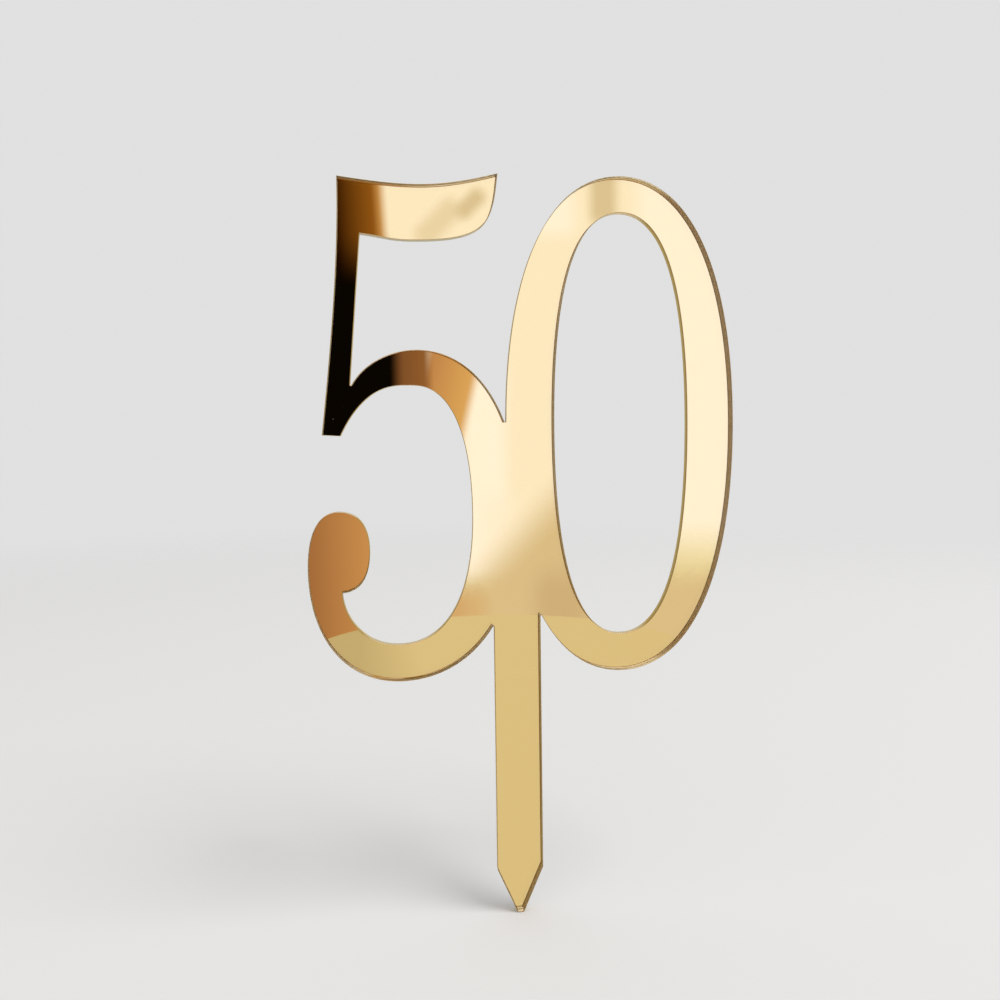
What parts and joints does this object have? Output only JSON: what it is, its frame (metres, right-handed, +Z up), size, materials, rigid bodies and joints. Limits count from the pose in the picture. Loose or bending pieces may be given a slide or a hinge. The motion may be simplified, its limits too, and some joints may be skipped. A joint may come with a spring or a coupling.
{
  "type": "cake topper",
  "caption": "Flat number cake topper: a flared figure five run together with a tall oval nought, and a pointed stake below, cut from gold mirror acrylic sheet to stand in a cake.",
  "frame": {"origin": "on the stake's middle line, in the middle of the sheet's thickness, at the level of the cake's top, on which both figures stand", "axes": "+X to the right along the figures, +Y from the mirrored front to the painted back, +Z up"},
  "size_m": [0.1306, 0.003, 0.225],
  "materials": {
    "gold_acrylic": "clear gold-tinted acrylic, polished faces and laser-cut glossy edges",
    "mirror_coat": "bright vacuum-deposited aluminium, seen through the acrylic",
    "back_paint": "matt grey protective paint"
  },
  "bodies": {
    "root": {"acrylic_sheet": "gold_acrylic", "mirror_coat": "mirror_coat", "back_paint": "back_paint"}
  },
  "joints": []
}
